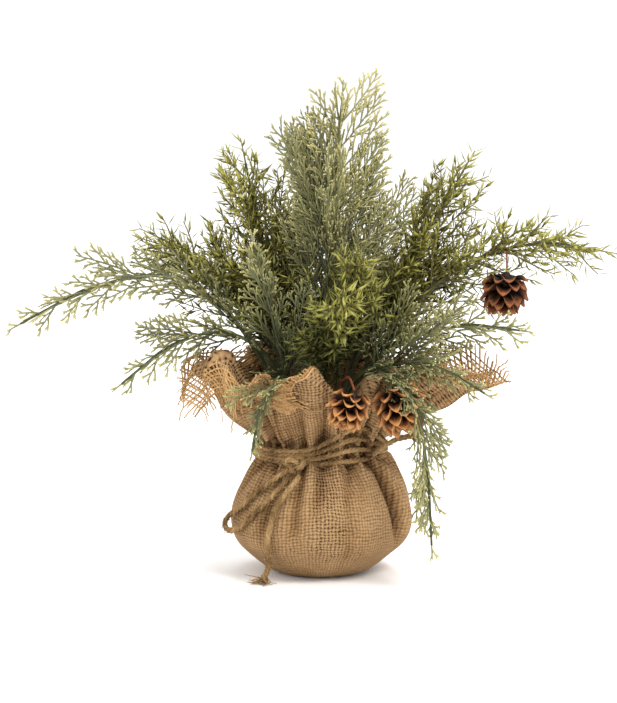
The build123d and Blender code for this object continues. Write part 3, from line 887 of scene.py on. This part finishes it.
def branch_off(at, tangent, normal, side, angle, roll, length, curl, droop, tint):
    """Branches that leave a parent at an angle, to one side of it or the other, rolled round it."""
    across = unit(np.cross(normal, tangent))
    out = np.cos(roll)[:, None] * across + np.sin(roll)[:, None] * normal
    along = unit(np.cos(angle)[:, None] * tangent + (np.sin(angle) * side)[:, None] * out)
    bend = curl * (tangent - along) - droop * UP
    return Shoots(at, along, bend, length, unit(np.cross(tangent, out)), tint)


def join(*groups):
    return Shoots(*(np.concatenate([getattr(group, field) for group in groups]) for field in Shoots.FIELDS))


def count_out(counts):
    """For each thing on each branch: its branch's number, and its own number along it."""
    index = np.repeat(np.arange(len(counts)), counts)
    return index, np.arange(len(index)) - np.repeat(np.cumsum(counts) - counts, counts)


def draw_shoots(build, shoots, spacing, width, height, taper, bead, sides, bark, tip_tint):
    """A tube along each branch, whose rings are thick and thin in turn where it has scale leaves."""
    rings = np.maximum(3, np.round(shoots.length / spacing).astype(int) + 1)
    for count in np.unique(rings):
        group = shoots.pick(rings == count)
        s = np.linspace(0, 1, count)
        lines = group.base[:, None] + group.length[:, None, None] * (
            s[None, :, None] * group.along[:, None] + 0.5 * (s**2)[None, :, None] * group.bend[:, None]
        )
        thick = (1 - taper * s) * np.where(np.arange(count) % 2, 1 + bead, 1 - bead)
        tint = np.clip(group.tint[:, None] + tip_tint * (s**2)[None], 0, 1)
        thick = np.broadcast_to(thick, lines.shape[:2])
        tubes(
            build, lines, width * thick, height * thick, group.normal, sides, tip=0.3 * width,
            tint=tint, bark=bark * np.ones_like(tint),
        )


def needles(build, shoots, per_metre, length, rng, first=0.05, tip_tint=0.25):
    """Flat pointed needles all round each branch, leaning forwards at its tip."""
    counts = np.maximum(4, np.round(shoots.length * per_metre).astype(int))
    index, number = count_out(counts)
    share = first + (1 - first) * (number + rng.random(len(index))) / counts[index]
    at, tangent, normal = shoots.sample(index, share)
    across = unit(np.cross(normal, tangent))
    turn = number * GOLDEN + rng.normal(0, 0.4, len(index))
    out = np.cos(turn)[:, None] * across + 0.75 * np.sin(turn)[:, None] * normal
    lean = np.radians(64 - 24 * share**4 + rng.normal(0, 7, len(index)))
    along = unit(np.cos(lean)[:, None] * tangent + np.sin(lean)[:, None] * out)
    reach = length * rng.uniform(0.75, 1.12, len(index)) * (1 - 0.22 * share**2)
    flat = unit(np.cross(along, tangent))
    upright = np.cross(flat, along)
    width = 0.00105 * rng.uniform(0.85, 1.15, len(index))[:, None]
    middle = at + 0.42 * reach[:, None] * along
    tip = at + reach[:, None] * (along + 0.10 * tangent)
    points = np.stack(
        [at, middle + flat * width, middle - flat * width, middle + 0.55 * upright * width, tip], axis=1
    )
    room = ROOM - 0.001
    inside = ((tip > LOW - room) & (tip < HIGH + room)).all(1)
    points = points[inside]
    shade = 0.08 + shoots.tint[index] + tip_tint * share**2 + rng.normal(0, 0.1, len(index))
    shade = np.clip(shade, 0, 1)[inside]
    corner = np.array([[0, 3, 1], [0, 2, 3], [0, 1, 2], [4, 1, 3], [4, 3, 2], [4, 2, 1]])
    faces = corner[None] + (np.arange(len(points)) * 5)[:, None, None]
    tint = np.stack([shade - 0.18, shade, shade, shade + 0.05, shade + 0.12], axis=1).ravel()
    build.add(points, triangles=faces, tint=np.clip(tint, 0, 1), bark=0.0)


def stem_samples(line, shares):
    """Points and directions on a stem at shares of its length."""
    at = np.asarray(shares) * (len(line) - 1)
    tangents = unit(np.gradient(line, axis=0))
    whole = np.arange(len(line))
    point = np.stack([np.interp(at, whole, line[:, k]) for k in range(3)], axis=1)
    tangent = unit(np.stack([np.interp(at, whole, tangents[:, k]) for k in range(3)], axis=1))
    return point, tangent


def left_or_right(numbers):
    return np.where(numbers, 1.0, -1.0)


def side_shoots(
    parents, spacing, first, last, angle, scale, least, curl, droop, roll, rng, tint_step, longest=1.0
):
    """Smaller branches, left and right in turn, along each branch."""
    counts = np.maximum(0, np.floor((last - first) * parents.length / spacing).astype(int))
    index, number = count_out(counts)
    share = first + (last - first) * (number + 0.5) / np.maximum(counts[index], 1)
    at, tangent, normal = parents.sample(index, share)
    size = len(index)
    length = np.minimum(longest, scale * parents.length[index] * (1.05 - share) ** 0.8) + least
    length = length * rng.uniform(0.8, 1.15, size)
    angles = np.radians(angle + rng.normal(0, 5, size))
    rolls = rng.normal(0, roll, size)
    tint = parents.tint[index] + tint_step
    side = left_or_right(number % 2)
    return branch_off(at, tangent, normal, side, angles, rolls, length, curl, droop, tint)


def main_branches(name, kind, line, across, rng):
    """A pick's twigs in its own plane, more of them all round, long shoots low on its stem, and its tip."""
    count, longest, degrees, near_share = PICKS[name][2]
    longest = longest * MM * SCALE.get(name, USUAL_SCALE[kind])
    is_top = name == "top_cedar"

    def off_stem(shares, side, degrees, roll, length, curl, droop, tint):
        at, tangent = stem_samples(line, shares)
        normal = np.repeat(across[None], len(shares), axis=0)
        return branch_off(at, tangent, normal, side, np.radians(degrees), roll, length, curl, droop, tint)

    number = np.arange(count)
    along = (number + 0.5) / count
    side = left_or_right(number % 2)
    length = longest * (1 - (0.4 if is_top else 0.62) * along) * np.where(side < 0, near_share, 1.0)
    tint = 0.12 + 0.3 * along + rng.normal(0, 0.06, count)
    roll = rng.normal(0, 0.12, count)
    twigs = off_stem(0.36 + 0.6 * along, side, np.full(count, degrees), roll, length, 0.35, 0.05, tint)

    crowded = {"spruce": 2.4, "cedar": 2.6 if name in ("top_cedar", "right_hanging_cedar") else 1.7}
    count = int(count * crowded[kind])
    along = (np.arange(count) + 0.5) / count
    roll = left_or_right(np.arange(count) % 2) * rng.uniform(0.9, 2.0, count)
    side = left_or_right(rng.random(count) < 0.5)
    angles = degrees * (0.78 if is_top else 0.95) + rng.normal(0, 7, count)
    reach = {"spruce": 1.0, "cedar": 0.85}[kind] * longest
    length = reach * (1 - 0.55 * along) * rng.uniform(0.7, 1.1, count)
    tint = 0.08 + 0.3 * along + rng.normal(0, 0.06, count)
    wide = off_stem(0.26 + 0.68 * along, side, angles, roll, length, 0.3, 0.05, tint)

    count = BRUSH.get(name, USUAL_BRUSH[kind])
    low = rng.uniform(0.22, 0.72, count)
    reach = np.minimum(BRUSH_REACH.get(name, USUAL_BRUSH_REACH) * MM, (1.02 - low) * distance_along(line)[-1])
    length = reach * rng.uniform(0.75, 1.0, count)
    side = left_or_right(rng.random(count) < 0.5)
    angles = rng.uniform(14, 46 if is_top else 36, count)
    roll = rng.normal(0, 0.75, count)
    brush = off_stem(low, side, angles, roll, length, 0.25, 0.04, rng.uniform(0.05, 0.3, count))
    end = brush.base + brush.length[:, None] * (brush.along + 0.5 * brush.bend)
    margin = ROOM - 6 * MM
    brush = brush.pick(((end > LOW - margin) & (end < HIGH + margin)).all(1))

    at, tangent = stem_samples(line, [0.995])
    tip = Shoots(at, tangent, np.zeros((1, 3)), np.array([0.25 * longest]), across[None], np.array([0.45]))
    return join(twigs, wide, brush, tip)


def spruce_leaves(build, main, line, across, rng):
    """Needles on the branches, on their twiglets and on the stem itself."""
    draw_shoots(build, main, 4 * MM, 0.7 * MM, 0.7 * MM, 0.5, 0, 5, 0.7, 0.2)
    twiglets = side_shoots(
        main.pick(main.length > 18 * MM), 18 * MM, 0.2, 0.8, 42, 0.45, 6 * MM, 0.3, 0.0, 0.5, rng, 0.08
    )
    draw_shoots(build, twiglets, 4 * MM, 0.5 * MM, 0.5 * MM, 0.4, 0, 4, 0.5, 0.2)
    needles(build, main, 360, 13.0 * MM, rng)
    needles(build, twiglets, 380, 11.5 * MM, rng)
    shares = np.linspace(0.24, 0.98, 12)
    points, _ = stem_samples(line, shares)
    runs = np.diff(points, axis=0)
    stem_runs = Shoots(
        points[:-1], unit(runs), np.zeros_like(runs), np.linalg.norm(runs, axis=1),
        np.repeat(across[None], len(runs), axis=0), 0.05 + 0.3 * shares[:-1],
    )
    needles(build, stem_runs, 450, 11.0 * MM, rng, first=0.0, tip_tint=0.0)


def cedar_leaves(build, main, thin, angle, rng):
    """Flat beaded sprays: the branches, smaller ones on their sides, and smaller ones again on those."""
    thin = thin * MM
    draw_shoots(build, main, 0.9 * MM, 0.85 * thin, 0.7 * thin, 0.25, 0.16, 5, 0.15, 0.25)
    sprays = side_shoots(main, 4.4 * MM, 0.1, 0.97, angle, 0.42, 3.5 * MM, 0.45, 0.05, 0.3, rng, 0.1, 17 * MM)
    draw_shoots(build, sprays, 0.85 * MM, 0.78 * thin, 0.58 * thin, 0.1, 0.2, 4, 0.0, 0.35)
    longer = sprays.pick(sprays.length > 6 * MM)
    tips = side_shoots(longer, 3.8 * MM, 0.25, 0.98, angle, 0.42, 2.2 * MM, 0.4, 0.0, 0.35, rng, 0.16)
    draw_shoots(build, tips, 0.85 * MM, 0.74 * thin, 0.55 * thin, 0.0, 0.2, 4, 0.0, 0.3)


def grow(name, seed):
    azimuth, stem_points, _ = PICKS[name]
    rng = np.random.default_rng(seed)
    out = outwards(azimuth)
    across = np.cross(UP, out)
    stem = np.array([out * rho + UP * height for rho, height in stem_points]) * MM
    line = round_path(stem, 2.0 * MM)
    kind = "spruce" if "spruce" in name else "cedar"
    main = main_branches(name, kind, line, across, rng)
    build = Build()
    stem_shown = line[int(0.06 * len(line)):]
    thick = np.linspace(1.6, 0.75, len(stem_shown)) * MM
    tubes(build, stem_shown[None], thick[None], thick[None], across[None], 8, tint=0.2, bark=0.85)
    if kind == "spruce":
        spruce_leaves(build, main, line, across, rng)
    elif name == "top_cedar":
        cedar_leaves(build, main, 0.78, 31, rng)
    else:
        cedar_leaves(build, main, 0.9, 38, rng)
    looks = {"spruce": (spruce, "spruce_foliage"), "cedar": (cedar, "cedar_foliage")}
    material, slot = (pale_cedar, "pale_foliage") if name == "curled_spray" else looks[kind]
    build.mesh(name + "_leaves", material, name, slot, [name + "_foliage"])


for number, name in enumerate(PICKS):
    grow(name, 100 + number)

# -------- pine cones


def scale_faces(rows, columns):
    """The faces of one scale, whose points are the grid of its top and then the grid of its underside."""
    number = np.arange(rows * columns).reshape(rows, columns)
    top = np.stack([number[:-1, :-1], number[:-1, 1:], number[1:, 1:], number[1:, :-1]], axis=-1)
    top = top.reshape(-1, 4)
    under = top[:, ::-1] + rows * columns
    ring = np.concatenate([number[0], number[1:, -1], number[-1, -2::-1], number[-2:0:-1, 0]])
    following = np.roll(ring, -1)
    rim = np.stack([following, ring, ring + rows * columns, following + rows * columns], axis=-1)
    return np.concatenate([top, under, rim])


def tilted(points, tilt, pivot):
    """Points turned about X and then about Y, by the degrees in tilt."""
    x, y = np.radians(tilt)
    about_x = np.array([[1, 0, 0], [0, math.cos(x), -math.sin(x)], [0, math.sin(x), math.cos(x)]])
    about_y = np.array([[math.cos(y), 0, math.sin(y)], [0, 1, 0], [-math.sin(y), 0, math.cos(y)]])
    return (points - pivot) @ (about_y @ about_x).T + pivot


def pine_cone(name, count, material, slot, tilt, seed):
    """Woody scales on a spiral, widest round the middle, on a tapering core."""
    rng = np.random.default_rng(seed)
    low, high = (np.array(corner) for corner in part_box(name))
    middle = (low + high) / 2
    radius = 0.265 * (high[0] - low[0] + high[1] - low[1])
    length = high[2] - low[2]

    # Each scale, from the top one to the bottom one, in its own turn
    share = (np.arange(count) + 0.5) / count
    turn = np.arange(count) * GOLDEN
    stand = np.radians(92 - 66 * share + rng.normal(0, 7, count))
    bulge = 0.62 + 0.66 * np.sin(math.pi * np.clip(0.16 + 0.8 * share, 0, 1)) ** 0.8
    reach = radius * bulge * rng.uniform(0.93, 1.05, count) * np.where(share > 0.86, 0.72, 1.0)
    width = radius * (0.40 - 0.14 * np.abs(share - 0.4)) * rng.uniform(0.85, 1.1, count)
    out = np.stack([np.cos(turn), np.sin(turn), np.zeros(count)], axis=-1)
    side = np.stack([-np.sin(turn), np.cos(turn), np.zeros(count)], axis=-1)
    along = np.sin(stand)[:, None] * out - np.cos(stand)[:, None] * UP
    face = np.cross(along, side)
    base = out * 0.10 * radius + UP * ((0.38 - 0.66 * share) * length)[:, None]

    # The grid of a scale, from its root to its tip and from side to side, cupped and ridged
    grid_a, grid_b = np.meshgrid(np.linspace(0, 1, 9), np.linspace(-1, 1, 7), indexing="ij")
    spread = np.interp(grid_a, [0, 0.3, 0.58, 0.78, 0.92, 1.0], [0.4, 0.62, 1.0, 0.86, 0.48, 0.1]) * grid_b
    lift = 0.22 * spread**2 - 0.10 * grid_a**2 + 0.04 * bell(spread, 0.2) * grid_a
    thickness = (0.05 + 0.045 * grid_a) * np.sqrt(np.clip(1 - 0.85 * grid_b**2, 0.1, 1))
    pale = 0.08 + 0.95 * smooth(0.35, 1.0, grid_a)

    def spread_out(per_scale, over_grid):
        return per_scale[:, None, None] * over_grid[None, :, :, None]

    flat = base[:, None, None] + spread_out(reach[:, None] * along, grid_a)
    flat = flat + spread_out(width[:, None] * side, spread)
    normal = reach[:, None] * face
    points = np.concatenate([
        (flat + spread_out(normal, raised)).reshape(count, -1, 3) for raised in (lift, lift - thickness)
    ], axis=1)
    shade = np.concatenate([pale.ravel(), pale.ravel() - 0.1]) + rng.normal(0, 0.07, (count, 1))
    faces = scale_faces(*grid_a.shape)[None] + (np.arange(count) * points.shape[1])[:, None, None]
    build = Build()
    build.add(points, quads=faces, tint=np.clip(shade, 0, 1).ravel())

    core = np.stack([np.zeros(9), np.zeros(9), np.linspace(0.5, -0.42, 9) * length], axis=-1)
    core_thick = radius * np.interp(np.linspace(0, 1, 9), [0, 0.15, 0.6, 1], [0.12, 0.34, 0.26, 0.05])
    tubes(build, core[None], core_thick[None], core_thick[None], np.array([[1.0, 0.0, 0.0]]), 12, tint=0.05)
    build.points = [tilted(block, tilt, UP * 0.5 * length) + middle for block in build.points]
    build.mesh(name + "_scales", material, name, slot, [name])


pine_cone("right_cone", 46, tan_cone, "tan_cone", (-26, -16), 5)
pine_cone("left_cone", 40, tan_cone, "tan_cone", (-22, 20), 6)
pine_cone("side_cone", 44, dark_cone, "dark_cone", (-8, 6), 7)

# -------- CAD pieces that show as they are

# Each slot's dark and light colour, the scale of its grain, its roughness and the depth of its grain
PLAIN = {
    "pot_plastic": ("101010", "1d1d1d", 80.0, 0.5, 0.0003),
    "cement": ("9a9791", "bdbab3", 120.0, 0.95, 0.001),
    "floral_foam": ("33421f", "4a5c2e", 900.0, 0.95, 0.0008),
    "stem_wire": ("2a3218", "454d28", 500.0, 0.55, 0.0002),
    "floral_tape": ("2d3d1c", "4b5c2d", 160.0, 0.7, 0.0005),
    "cone_wire": ("5b2a17", "8a4a2b", 400.0, 0.55, 0.0002),
}
plain_materials = {slot: speckled(slot + "_finish", *look) for slot, look in PLAIN.items()}
slot_of = {part["node"]: part["material_slot"] for part in frame["record"]["subparts"]}
for node, piece in frame["nodes"].items():
    if slot_of[node] in plain_materials:
        piece.data.materials.clear()
        piece.data.materials.append(plain_materials[slot_of[node]])
